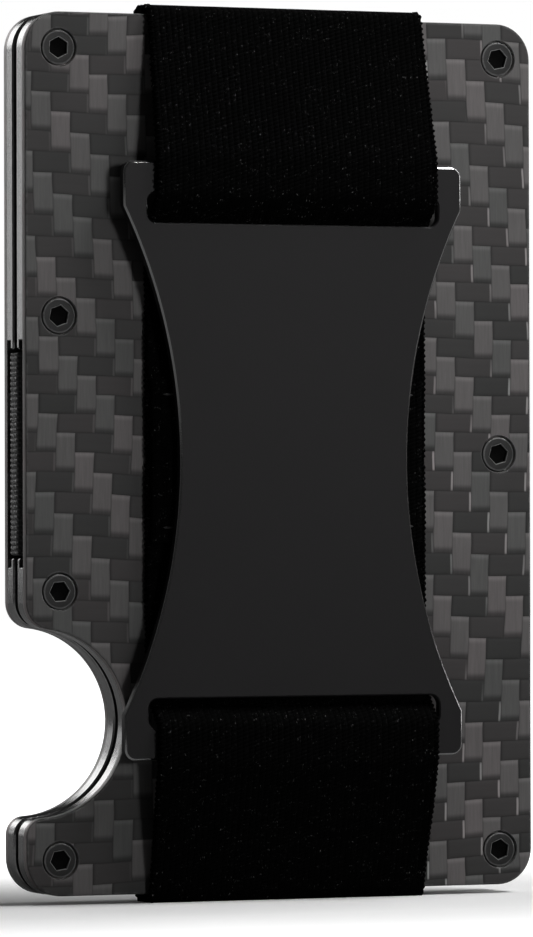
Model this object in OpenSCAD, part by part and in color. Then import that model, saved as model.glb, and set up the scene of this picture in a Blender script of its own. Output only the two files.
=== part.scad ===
// Slim card wallet: two screwed panels held face to face by three elastics, and a cash
// strap looped round the front panel and threaded through a waisted metal plate.
// The wallet stands on its short end. X runs across its width, Y from its front face to
// its back face and Z up. The origin is at the bottom centre of the whole wallet.

/* [Panels] */
// Width of both panels
panel_w = 54; // [50:0.5:70]
// Height of both panels
panel_h = 86; // [84:0.5:110]
// Radius of the panels' corners
corner_r = 3.6; // [2:0.1:5]
// Thickness of each woven carbon cover
cover_t = 0.9; // [0.8:0.02:1.4]
// Thickness of each metal frame
frame_t = 1.6; // [1.3:0.05:3]
// Room left between the strap's inner run and the back frame, with no cards in
card_slack = 0.15; // [0.1:0.01:1]

/* [Thumb notch] */
// Radius of the thumb notch
notch_r = 9.2; // [7:0.1:11]
// How far the notch's centre lies inside the panels' edge
notch_in = 1.25; // [0:0.05:3]
// Height of the notch's centre above the panels' lower edge
notch_z = 16.8; // [14:0.1:18]
// Radius that blends the notch into the long edge above it
notch_top_r = 2.6; // [1:0.1:3.5]
// Radius that blends the notch into the hook below it
notch_foot_r = 1.8; // [1:0.1:2.2]

/* [Screws] */
// Distance of the screws' centres from the panels' edges
screw_inset = 3.5; // [3:0.1:5]
// Distance from the end of the left elastic's pocket to the next screw's centre
pocket_to_screw = 2.4; // [2.1:0.1:4]
// Diameter of a screw's head
head_d = 3.1; // [2.6:0.05:3.8]
// Height of a screw's head
head_h = 0.5; // [0.4:0.02:0.6]
// Diameter of a screw's thread
shank_d = 1.9; // [1.4:0.05:2.4]
// Width across the flats of the hexagonal socket
socket_af = 1.5; // [0.9:0.05:1.8]
// Depth of the hexagonal socket
socket_depth = 0.36; // [0.2:0.01:0.38]

/* [Elastics] */
// Width of each elastic
elastic_w = 20; // [12:0.5:24]
// Thickness of each elastic
elastic_t = 0.8; // [0.5:0.05:0.9]
// Length of the elastic's leg that lies inside a panel
leg_len = 6.8; // [5:0.1:9]
// Length of the sewn hem at the end of each leg
hem_len = 2; // [1:0.1:3]

/* [Cash strap] */
// Width of the strap
strap_w = 30.3; // [20:0.1:37]
// Thickness of the strap
strap_t = 0.8; // [0.5:0.02:1]
// Length of the sewn overlap that closes the loop
overlap_len = 16; // [10:0.5:24]

/* [Plate] */
// Height of the plate, along the strap
plate_h = 58.3; // [48:0.1:70]
// Height of the plate's middle above the panels' lower edge
plate_z = 42.3; // [40:0.1:46]
// Width of the plate's waist
waist_w = 24.2; // [18:0.1:30]
// Length of the straight edge on each side of a prong
prong_len = 4.4; // [2:0.1:10]
// Thickness of the plate
plate_t = 1; // [0.8:0.05:1.5]
// Distance from the front panel's face to the plate's back
plate_stand = 2.2; // [2:0.05:3]
// Height of the bar between a slot and the end of the plate
bar_h = 3; // [2:0.1:5]
// Height of each strap slot
slot_h = 3; // [2.6:0.1:5]
// Width of metal between a slot's end and the plate's side
prong_wall = 2.5; // [1.8:0.05:4]
// Radius of the slots' corners
slot_r = 1; // [0.4:0.1:1.2]
// Radius of the plate's outer corners
plate_r = 1.1; // [0.4:0.1:2]

/* [Hidden] */
$fn = 48;

// Fits
head_clear = 0.15;      // ring of air round a screw's head
head_sink = 0.04;       // the head's top below the cover's face
shank_clear = 0.1;      // cover's hole round the thread
thread_clear = 0.04;    // frame's hole round the thread
tip_clear = 0.25;       // thread's end short of the frame's inner face
strap_clear = 0.05;     // strap off the panel and off the plate
slot_side_clear = 0.35; // slot past the strap's edge, each side
pocket_clear = 1;       // elastic pocket past the elastic's edge, each end
relief_clear = 0.2;     // cut in the pocket's inner skin past the elastic's edge
leg_clear = 0.12;       // leg off each wall of its pocket
hem_clear = 0.04;       // hem off each wall of its pocket
fold_r = 0.2;           // inner radius where the leg turns into the web
edge_sink = 0.25;       // elastic's outer face inside the panels' edge

// Panels
half_w = panel_w / 2;
mid_z = panel_h / 2;
panel_t = cover_t + frame_t;
card_gap = strap_clear + strap_t + card_slack;
pack_t = 2 * panel_t + card_gap;

// Elastics and their pockets
pocket_len = elastic_w + 2 * pocket_clear;
pocket_t = elastic_t + 2 * leg_clear;
pocket_depth = leg_len + 1;
skin_cut = edge_sink + elastic_t + relief_clear;
hem_t = pocket_t - 2 * hem_clear;
right_offset = (mid_z - screw_inset) / 2;

// Screws, numbered from the top left to the bottom right
side_screw_dz = pocket_len / 2 + pocket_to_screw;
left_x = -half_w + screw_inset;
right_x = half_w - screw_inset;
top_z = panel_h - screw_inset;
SCREWS = [
  [left_x, top_z], [right_x, top_z], [left_x, mid_z + side_screw_dz], [right_x, mid_z],
  [left_x, mid_z - side_screw_dz], [left_x, screw_inset], [right_x, screw_inset]
];
SOCKET_TURNS = [8, 22, 4, 15, 27, 12, 19];
bore_depth = head_h + head_sink;
screw_len = panel_t - tip_clear - head_sink;

// Plate
prong_w = strap_w + 2 * (slot_side_clear + prong_wall);
slot_w = strap_w + 2 * slot_side_clear;
slot_in = plate_h / 2 - bar_h - slot_h;
slot_out = plate_h / 2 - bar_h;
plate_back_y = -plate_stand;
plate_face_y = plate_back_y - plate_t;

// Strap
half_t = strap_t / 2;
off = strap_clear + half_t;   // strap's middle off what it wraps
slot_off = off + 0.1;         // strap's middle off the slot's inner edge
dip_len = 4;                  // length over which it dips from the slot to the panel
dip_r = 2;                    // radius where it meets the panel
crease_r = 0.3;               // outer radius where it creases round the panel's ends
overlap_y = -strap_clear - strap_t;

// Stitches
stitch_t = 0.25;
stitch_pitch = 1.6;
stitch_len = 1.1;
stitch_rim = 1.5;

// Where the wallet stands in its own frame
front_y = plate_face_y - strap_clear - strap_t;
middle_y = (front_y + pack_t) / 2;
foot_z = -(strap_clear + strap_t);

module placed() translate([0, -middle_y, -foot_z]) children();

// Points on an arc, its centre, radius, first and last angle given
function arc(c, r, a0, a1, n) =
  [for (i = [0:n]) let (a = a0 + (a1 - a0) * i / n) c + r * [cos(a), sin(a)]];

function unit(v) = v / norm(v);
function left_of(v) = [-v[1], v[0]];

// Corner b of the path a, b, c, rounded with radius r
function bend(a, b, c, r) =
  let (
    u = unit(a - b),
    v = unit(c - b),
    half = acos(u * v) / 2,
    mid = b + unit(u + v) * r / sin(half),
    p = b + u * r / tan(half) - mid,
    turn = sign(cross(b - a, c - b)) * (180 - 2 * half),
    a0 = atan2(p[1], p[0]),
    n = ceil(abs(turn) / 15)
  ) arc(mid, r, a0, a0 + turn, n);

// Closed path of [x, y, radius] corners, with every corner rounded
function rounded(p) =
  let (n = len(p), at = [for (q = p) [q[0], q[1]]])
  [for (i = [0:n - 1]) each bend(at[(i + n - 1) % n], at[i], at[(i + 1) % n], p[i][2])];

// Closed path of points, moved to its left by d
function shifted(p, d) =
  let (n = len(p))
  [for (i = [0:n - 1])
    let (
      before = left_of(unit(p[i] - p[(i + n - 1) % n])),
      after = left_of(unit(p[(i + 1) % n] - p[i])),
      m = unit(before + after)
    ) p[i] + m * d / (m * after)];

function box_corners(w, h, r) =
  [[w / 2, -h / 2, r], [w / 2, h / 2, r], [-w / 2, h / 2, r], [-w / 2, -h / 2, r]];

// A flat shape drawn in X and Z, from depth y0 to depth y1
module slab(y0, y1) translate([0, y1, 0]) rotate([90, 0, 0]) linear_extrude(y1 - y0) children();

// A shape drawn in Y and Z, run across the width w
module across(w) translate([-w / 2, 0, 0]) rotate([90, 0, 90]) linear_extrude(w) children();

// Both panels share one outline: a rounded rectangle with the notch in its left edge
module outline() {
  notch = [-half_w + notch_in, notch_z];
  rise = sqrt(pow(notch_r + notch_top_r, 2) - pow(notch_top_r - notch_in, 2));
  drop = sqrt(pow(notch_r + notch_foot_r, 2) - pow(notch_foot_r - notch_in, 2));
  brow = [-half_w + notch_top_r, notch_z + rise];
  hook = [-half_w + notch_foot_r, notch_z - drop];
  a_brow = atan2(brow[1] - notch[1], brow[0] - notch[0]);
  a_hook = atan2(hook[1] - notch[1], hook[0] - notch[0]);
  x = half_w - corner_r;
  polygon(concat(
    arc([x, corner_r], corner_r, -90, 0, 9),
    arc([x, panel_h - corner_r], corner_r, 0, 90, 9),
    arc([-x, panel_h - corner_r], corner_r, 90, 180, 9),
    arc(brow, notch_top_r, 180, 180 + a_brow, 8),
    arc(notch, notch_r, a_brow, a_hook, 40),
    arc(hook, notch_foot_r, 180 + a_hook, 180, 8),
    arc([-x, corner_r], corner_r, 180, 270, 9)
  ));
}

// A hole of diameter d through depths y0 to y1 at every screw
module screw_holes(d, y0, y1)
  for (s = SCREWS) translate([s[0], y1, s[1]]) rotate([90, 0, 0]) cylinder(d = d, h = y1 - y0);

// Front panel's cover, drilled and counterbored for the screw heads
module cover() {
  difference() {
    slab(0, cover_t) outline();
    screw_holes(head_d + 2 * head_clear, -1, bore_depth);
    screw_holes(shank_d + 2 * shank_clear, -1, cover_t + 1);
  }
}

// Room for one elastic: a pocket behind the cover and a cut in its inner skin
module pocket(side, z) translate([side * half_w, 0, z]) {
  translate([-pocket_depth, cover_t - 1, -pocket_len / 2])
    cube([2 * pocket_depth, 1 + pocket_t, pocket_len]);
  translate([-skin_cut, cover_t - 1, -elastic_w / 2 - relief_clear])
    cube([2 * skin_cut, panel_t + 2, elastic_w + 2 * relief_clear]);
}

// Front panel's frame, threaded for the screws and milled for the elastics
module frame() {
  difference() {
    slab(cover_t, panel_t) outline();
    screw_holes(shank_d + 2 * thread_clear, cover_t - 1, panel_t + 1);
    pocket(-1, mid_z);
    pocket(1, mid_z + right_offset);
    pocket(1, mid_z - right_offset);
  }
}

// One flat-headed screw in the front panel
module screw(i) {
  at = SCREWS[i];
  translate([at[0], head_sink, at[1]]) rotate([-90, 0, 0]) difference() {
    union() {
      cylinder(d = head_d, h = head_h);
      cylinder(d = shank_d, h = screw_len);
    }
    translate([0, 0, -1]) rotate([0, 0, SOCKET_TURNS[i]])
      cylinder(d = socket_af / cos(30), h = 1 + socket_depth, $fn = 6);
  }
}

// The back panel is the front one turned about the plane between them
module as_back() translate([0, pack_t, 0]) mirror([0, 1, 0]) children();

// One elastic: a leg and hem in each panel, joined by a web across the gap.
// It is drawn for the right side, with its outer face edge_sink inside the edge.
module elastic(z) {
  face_x = half_w - edge_sink;
  end_x = half_w - leg_len;
  depth = pack_t - 2 * (cover_t + leg_clear);
  reach = 2 * (face_x - end_x);
  hem_y = depth / 2 + leg_clear - hem_clear - hem_t;
  translate([0, pack_t / 2, z - elastic_w / 2]) union() {
    linear_extrude(elastic_w) difference() {
      translate([end_x, 0])
        polygon(rounded(box_corners(reach, depth, elastic_t + fold_r)));
      translate([end_x, 0])
        polygon(rounded(box_corners(reach - 2 * elastic_t, depth - 2 * elastic_t, fold_r)));
      translate([end_x - reach, -depth]) square([reach, 2 * depth]);
    }
    for (s = [0, 1])
      mirror([0, s, 0]) translate([end_x, hem_y, 0]) cube([hem_len, hem_t, elastic_w]);
  }
}

// Half of the strap's route on the plate side, from the panel's end to behind the plate.
// s is 1 above the plate and -1 below it.
function half_route(s) =
  let (end_z = s > 0 ? panel_h + off : -off)
  [
    [-off, end_z, off],
    [plate_face_y - off, plate_z + s * (plate_h / 2 + off), off],
    [plate_face_y - off, plate_z + s * (slot_out - off), off],
    [plate_back_y + slot_off, plate_z + s * (slot_in + slot_off), off],
    [-off, plate_z + s * (slot_in - dip_len), dip_r]
  ];

// The strap's closed route in Y and Z, up the gap and down the front
function strap_route() =
  let (in_y = panel_t + off, down = half_route(1), up = half_route(-1))
  rounded(concat(
    [[in_y, -off, off], [in_y, panel_h + off, off]],
    down,
    [for (i = [len(up) - 1:-1:0]) up[i]]
  ));

// The strap's firm crease past one corner of the panel, drawn up and to the right of it
module crease() {
  near = strap_clear;
  far = strap_clear + strap_t;
  mid = far - crease_r;
  polygon(concat([[near, near], [far, near]], arc([mid, mid], crease_r, 0, 90, 5), [[near, far]]));
}

// Elastic webbing in one loop, its sewn overlap hidden behind the plate
module cash_strap() {
  color("#0b0b0b") across(strap_w) union() {
    difference() {
      polygon(shifted(strap_route(), -half_t));
      polygon(shifted(strap_route(), half_t));
    }
    translate([panel_t, panel_h]) crease();
    translate([0, panel_h]) rotate(90) crease();
    rotate(180) crease();
    translate([panel_t, 0]) rotate(-90) crease();
    translate([overlap_y - strap_t, plate_z - overlap_len / 2])
      square([strap_t + half_t, overlap_len]);
  }
}

// Thread that closes the loop: rows of short bars along the overlap's two ends
module strap_stitching() {
  count = floor((strap_w - 2 * stitch_rim) / stitch_pitch);
  color("#1b1b1b") for (row = [-1, 1], i = [0:count - 1])
    translate([
      (i - (count - 1) / 2) * stitch_pitch - stitch_len / 2,
      overlap_y - strap_t - stitch_t,
      plate_z + row * (overlap_len / 2 - stitch_rim) - stitch_t / 2
    ])
      cube([stitch_len, stitch_t, stitch_t]);
}

// The hollow in the plate's right side, one arc from the lower prong to the upper one
function plate_side() =
  let (
    half_len = plate_h / 2 - prong_len,
    hollow = (prong_w - waist_w) / 2,
    r = (pow(half_len, 2) + pow(hollow, 2)) / (2 * hollow),
    a = asin(half_len / r)
  ) arc([waist_w / 2 + r, 0], r, 180 + a, 180 - a, 28);

// Waisted plate with a strap slot near each end
module strap_plate() {
  x = prong_w / 2 - plate_r;
  z = plate_h / 2 - plate_r;
  side = plate_side();
  half = concat(arc([x, -z], plate_r, -90, 0, 6), side, arc([x, z], plate_r, 0, 90, 6));
  color("#2b2a2b") slab(plate_face_y, plate_back_y) translate([0, plate_z]) difference() {
    polygon(concat(half, [for (p = half) -p]));
    for (s = [-1, 1])
      translate([0, s * (slot_in + slot_out) / 2]) polygon(rounded(box_corners(slot_w, slot_h, slot_r)));
  }
}

module front_cover() color("#454142") cover();
module front_frame() color("#58585a") frame();
module front_screw(i) color("#161616") screw(i);
module back_cover() color("#454142") as_back() cover();
module back_frame() color("#58585a") as_back() frame();
module back_screw(i) color("#161616") as_back() screw(i);
module left_elastic() color("#101010") mirror([1, 0, 0]) elastic(mid_z);
module right_upper_elastic() color("#101010") elastic(mid_z + right_offset);
module right_lower_elastic() color("#101010") elastic(mid_z - right_offset);

placed() front_cover();
placed() front_frame();
placed() front_screw(0);  // front_screw_top_left
placed() front_screw(1);  // front_screw_top_right
placed() front_screw(2);  // front_screw_upper_left
placed() front_screw(3);  // front_screw_mid_right
placed() front_screw(4);  // front_screw_lower_left
placed() front_screw(5);  // front_screw_bottom_left
placed() front_screw(6);  // front_screw_bottom_right
placed() back_cover();
placed() back_frame();
placed() back_screw(0);  // back_screw_top_left
placed() back_screw(1);  // back_screw_top_right
placed() back_screw(2);  // back_screw_upper_left
placed() back_screw(3);  // back_screw_mid_right
placed() back_screw(4);  // back_screw_lower_left
placed() back_screw(5);  // back_screw_bottom_left
placed() back_screw(6);  // back_screw_bottom_right
placed() left_elastic();
placed() right_upper_elastic();
placed() right_lower_elastic();
placed() cash_strap();
placed() strap_stitching();
placed() strap_plate();
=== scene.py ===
"""Looks of a slim card wallet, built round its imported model.

Two carbon-covered metal panels are screwed and strung together with elastics, and a cash
strap runs round the front panel and through a waisted metal plate. Sizes below are in
millimetres, in the panels' own coordinates: X from their middle, Z up from their lower
edge, and depth from a face into the panel.
"""

import logging
import math
from collections.abc import Callable, Sequence
from dataclasses import dataclass, field
from enum import Enum

import bmesh
import bpy
from mathutils import Matrix, Vector
from mathutils.geometry import tessellate_polygon
from mathutils.noise import noise as smooth_noise


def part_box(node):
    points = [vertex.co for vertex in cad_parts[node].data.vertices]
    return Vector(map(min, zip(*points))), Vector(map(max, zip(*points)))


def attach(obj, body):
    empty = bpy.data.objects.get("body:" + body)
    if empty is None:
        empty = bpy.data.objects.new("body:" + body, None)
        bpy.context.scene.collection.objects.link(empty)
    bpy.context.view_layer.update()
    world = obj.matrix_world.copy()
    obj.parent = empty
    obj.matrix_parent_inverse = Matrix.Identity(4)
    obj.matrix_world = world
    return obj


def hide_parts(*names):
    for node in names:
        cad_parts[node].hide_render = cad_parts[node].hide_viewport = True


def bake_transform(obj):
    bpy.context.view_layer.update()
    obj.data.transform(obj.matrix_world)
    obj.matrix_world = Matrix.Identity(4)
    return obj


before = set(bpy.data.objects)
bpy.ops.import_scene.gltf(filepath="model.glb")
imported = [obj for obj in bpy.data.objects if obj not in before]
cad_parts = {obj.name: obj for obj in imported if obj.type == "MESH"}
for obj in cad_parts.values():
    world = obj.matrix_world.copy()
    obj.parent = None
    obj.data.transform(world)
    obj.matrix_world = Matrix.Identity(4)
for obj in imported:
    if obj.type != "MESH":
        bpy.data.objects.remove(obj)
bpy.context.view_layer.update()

MM = 0.001
BEND_STEP = 9  # Largest turn between two points of a bend, in degrees.
LOG = logging.getLogger("wallet")
Point = tuple[float, float]
Loop = list[Point]
Place = Callable[[float, float, float], Vector]


# Where things are -----------------------------------------------------------------------


@dataclass(frozen=True)
class Span:
    """A CAD node's box, in millimetres."""

    low: Vector
    high: Vector

    @classmethod
    def of(cls, node: str) -> "Span":
        """Box of one CAD node."""
        low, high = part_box(node)
        return cls(low / MM, high / MM)

    @property
    def middle(self) -> Vector:
        """Centre of the box."""
        return (self.low + self.high) / 2


class Side(Enum):
    """The two panels, each with its CAD body and the way that depth runs in it."""

    FRONT = ("front", "front_panel", 1)
    BACK = ("back", "back_panel", -1)

    def __init__(self, prefix: str, body: str, inward: int) -> None:
        """Keep the panel's name prefix, its body and its inward direction along Y."""
        self.prefix = prefix
        self.body = body
        self.inward = inward

    @property
    def face_y(self) -> float:
        """Y of the panel's outer face."""
        span = Span.of(f"{self.prefix}_cover")
        return span.low.y if self is Side.FRONT else span.high.y

    def place(self) -> Place:
        """Function from X, Z and depth in this panel to a point in the model."""
        face, foot, inward = self.face_y, FOOT_Z, self.inward
        return lambda x, z, depth: Vector((x, face + inward * depth, z + foot)) * MM


FOOT_Z = Span.of("front_cover").low.z
FACE_Y = Span.of("front_cover").low.y


# Drawing in the plane ---------------------------------------------------------------------


def arc(centre: Point, radius: float, start: float, stop: float, count: int) -> Loop:
    """Points on an arc.

    Args:
        centre: the arc's centre.
        radius: its radius.
        start: first angle, in degrees.
        stop: last angle, in degrees.
        count: number of steps.

    Returns:
        count + 1 points.
    """
    turns = [math.radians(start + (stop - start) * i / count) for i in range(count + 1)]
    return [(centre[0] + radius * math.cos(a), centre[1] + radius * math.sin(a)) for a in turns]


def bend(before: Point, corner: Point, after: Point, radius: float) -> Loop:
    """Round one corner of a path.

    Args:
        before: the point before the corner.
        corner: the corner itself.
        after: the point after it.
        radius: radius of the bend.

    Returns:
        Points along the bend.
    """
    b = Vector(corner)
    back, ahead = (Vector(before) - b).normalized(), (Vector(after) - b).normalized()
    half = back.angle(ahead) / 2
    if half > math.radians(89.9):
        return [corner]
    middle = b + (back + ahead).normalized() * radius / math.sin(half)
    first = b + back * radius / math.tan(half) - middle
    turn = math.copysign(180 - 2 * math.degrees(half), (-back).cross(ahead))
    start = math.degrees(math.atan2(first.y, first.x))
    count = max(1, math.ceil(abs(turn) / BEND_STEP))
    return arc(tuple(middle), radius, start, start + turn, count)


def rounded(corners: Sequence[tuple[float, float, float]]) -> Loop:
    """Closed loop through corners given as X, Z and radius, with each corner rounded."""
    spots = [(c[0], c[1]) for c in corners]
    count = len(spots)
    return [
        p
        for i in range(count)
        for p in bend(spots[i - 1], spots[i], spots[(i + 1) % count], corners[i][2])
    ]


def open_path(corners: Sequence[tuple[float, float, float]]) -> Loop:
    """Open path through corners given as two coordinates and a radius, each one rounded."""
    spots = [(c[0], c[1]) for c in corners]
    path = [spots[0]]
    for i in range(1, len(spots) - 1):
        path += bend(spots[i - 1], spots[i], spots[i + 1], corners[i][2])
    return [*path, spots[-1]]


def inset(loop: Loop, distance: float) -> Loop:
    """Move each point of a loop to its left, into a loop drawn anticlockwise.

    Args:
        loop: the loop's points.
        distance: how far, negative to move outwards.

    Returns:
        The moved points, one for each point of the loop.
    """
    if distance == 0:
        return list(loop)
    points = [Vector(p) for p in loop]
    moved = []
    for i, p in enumerate(points):
        ahead = (points[(i + 1) % len(points)] - p).normalized()
        behind = (p - points[i - 1]).normalized()
        left = Vector((-behind.y - ahead.y, behind.x + ahead.x)).normalized()
        moved.append(tuple(p + left * distance / max(0.3, left.dot(Vector((-ahead.y, ahead.x))))))
    return moved


def circle(centre: Point, radius: float, count: int = 48, turn: float = 0) -> Loop:
    """Anticlockwise circle of count points, the first at the angle turn in degrees."""
    return arc(centre, radius, turn, turn + 360, count)[:-1]


# Drawing meshes ---------------------------------------------------------------------------


@dataclass(frozen=True)
class Step:
    """One ring of an edge's profile: how far in, how deep, and how exposed to wear."""

    inward: float
    depth: float
    wear_and_painted_light: float = 0.0


@dataclass(frozen=True)
class Wall:
    """A closed loop and the profile of the wall that drops from it."""

    loop: Loop
    steps: Sequence[Step]
    is_hole: bool = False

    def rings(self) -> list[tuple[Loop, Step]]:
        """Each step's loop, moved into the material."""
        sign = -1 if self.is_hole else 1
        return [(inset(self.loop, sign * s.inward), s) for s in self.steps]


class Draft:
    """A mesh that is drawn in millimetres, then turned into one object."""

    def __init__(self, place: Place) -> None:
        """Start an empty mesh.

        Args:
            place: turns X, Z and depth into a point of the model.
        """
        self.place = place
        self.mesh = bmesh.new()
        # This mark holds real edge wear, and also where light or shade is painted: -1 in screw
        # sockets for shade, 1 on the elastics' lit half and on the plate slot's painted highlight.
        self.wear_and_painted_light = self.mesh.verts.layers.float.new("wear_and_painted_light")
        self.cloth = self.mesh.verts.layers.float_vector.new("cloth")

    def ring(self, loop: Loop, depth: float, wear_and_painted_light: float = 0.0) -> list[bmesh.types.BMVert]:
        """Add a loop's points at one depth and return their vertices."""
        made = [self.mesh.verts.new(self.place(x, z, depth)) for x, z in loop]
        for v in made:
            v[self.wear_and_painted_light] = wear_and_painted_light
        return made

    def point(self, spot: Vector, cloth: Vector | None = None) -> bmesh.types.BMVert:
        """Add one vertex.

        Args:
            spot: its place in millimetres, in the model's frame.
            cloth: its place across and along a textile, in millimetres.

        Returns:
            The vertex.
        """
        v = self.mesh.verts.new(spot * MM)
        if cloth is not None:
            v[self.cloth] = cloth
        return v

    def band(self, first: list, second: list, closed: bool = True) -> None:
        """Join two rings of the same length with quads."""
        count = len(first)
        for i in range(count if closed else count - 1):
            j = (i + 1) % count
            self.mesh.faces.new((first[i], first[j], second[j], second[i]))

    def tube(self, rings: Sequence[list]) -> None:
        """Join each ring to the next, and close the first and the last with a face."""
        for first, second in zip(rings, rings[1:]):
            self.band(first, second)
        for end in (rings[0], rings[-1]):
            self.mesh.faces.new(end)

    def cap(self, rings: Sequence[list]) -> None:
        """Fill the area inside the first ring and outside the others."""
        flat = [[Vector((v.co.x, v.co.z, 0)) for v in r] for r in rings]
        every = [v for r in rings for v in r]
        for triangle in tessellate_polygon(flat):
            self.mesh.faces.new([every[i] for i in triangle])

    def fan(self, ring: list, tip: bmesh.types.BMVert) -> None:
        """Close a ring to one point."""
        for i, v in enumerate(ring):
            self.mesh.faces.new((v, ring[(i + 1) % len(ring)], tip))

    def walls(self, walls: Sequence[Wall], caps: bool = True) -> tuple[list, list]:
        """Add walls, and by default the two flat faces between them.

        Args:
            walls: the outer wall first, then the holes.
            caps: whether to fill the flat faces.

        Returns:
            The first and the last ring of every wall.
        """
        tops, bottoms = [], []
        for wall in walls:
            made = [self.ring(loop, s.depth, s.wear_and_painted_light) for loop, s in wall.rings()]
            for upper, lower in zip(made, made[1:]):
                self.band(upper, lower)
            tops.append(made[0])
            bottoms.append(made[-1])
        if caps:
            self.cap(tops)
            self.cap(bottoms)
        return tops, bottoms

    def build(self, name: str, crease: float = 28) -> bpy.types.Object:
        """Weld the mesh and make the object.

        Args:
            name: the object's name.
            crease: angle in degrees above which an edge stays sharp.

        Returns:
            The new object, linked to the scene.
        """
        bmesh.ops.remove_doubles(self.mesh, verts=self.mesh.verts, dist=1e-7)
        bmesh.ops.recalc_face_normals(self.mesh, faces=self.mesh.faces)
        data = bpy.data.meshes.new(name)
        self.mesh.to_mesh(data)
        self.mesh.free()
        data.shade_smooth()
        data.set_sharp_from_angle(angle=math.radians(crease))
        made = bpy.data.objects.new(name, data)
        bpy.context.scene.collection.objects.link(made)
        return made


def dress(
    piece: bpy.types.Object, finish: "Finish", body: str, nodes: Sequence[str] = ()
) -> None:
    """Give a piece its material and its body, and hide the CAD nodes that it stands for.

    Args:
        piece: the object.
        finish: what it is made of.
        body: the CAD body that it rides on, or an empty text to leave it on none.
        nodes: the CAD nodes that it replaces.
    """
    piece.data.materials.append(finish.material())
    if body:
        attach(piece, body)
    if nodes:
        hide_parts(*nodes)
    LOG.info("%s: %d faces", piece.name, len(piece.data.polygons))


# Shader arithmetic ------------------------------------------------------------------------


class Num:
    """A value in a shader tree, joined to others with plain arithmetic."""

    def __init__(self, sheet: "Sheet", socket: bpy.types.NodeSocket) -> None:
        """Hold the socket and the tree that it is in."""
        self.sheet = sheet
        self.socket = socket

    def do(self, operation: str, *others: "Num | float") -> "Num":
        """Result of one Math node."""
        return self.sheet.math(operation, self, *others)

    def __add__(self, other: "Num | float") -> "Num":
        """Sum."""
        return self.do("ADD", other)

    def __sub__(self, other: "Num | float") -> "Num":
        """Difference."""
        return self.do("SUBTRACT", other)

    def __rsub__(self, other: float) -> "Num":
        """Difference from a plain number."""
        return self.sheet.math("SUBTRACT", other, self)

    def __mul__(self, other: "Num | float") -> "Num":
        """Product."""
        return self.do("MULTIPLY", other)

    def __truediv__(self, other: "Num | float") -> "Num":
        """Quotient."""
        return self.do("DIVIDE", other)

    def floor(self) -> "Num":
        """Whole part."""
        return self.do("FLOOR")

    def wrap(self, length: float) -> "Num":
        """Remainder that is never negative."""
        return self.do("FLOORED_MODULO", length)

    def below(self, limit: float) -> "Num":
        """1 below the limit and 0 above it."""
        return self.do("LESS_THAN", limit)

    def crown(self, power: float) -> "Num":
        """1 in the middle of 0 to 1, falling to 0 at both ends, flatter for a higher power."""
        return 1 - ((self * 2 - 1).do("ABSOLUTE")).do("POWER", power)

    def ramp(self, low: float, high: float, at_low: float = 0, at_high: float = 1) -> "Num":
        """Smooth step between two limits.

        Args:
            low: value where the step starts.
            high: value where it ends.
            at_low: result up to the start.
            at_high: result from the end on.

        Returns:
            The stepped value.
        """
        node = self.sheet.node("MapRange", interpolation_type="SMOOTHSTEP")
        for name, value in zip(
            ("Value", "From Min", "From Max", "To Min", "To Max"),
            (self, low, high, at_low, at_high),
        ):
            self.sheet.feed(node.inputs[name], value)
        return Num(self.sheet, node.outputs["Result"])


Feed = Num | bpy.types.NodeSocket | float | tuple


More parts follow.
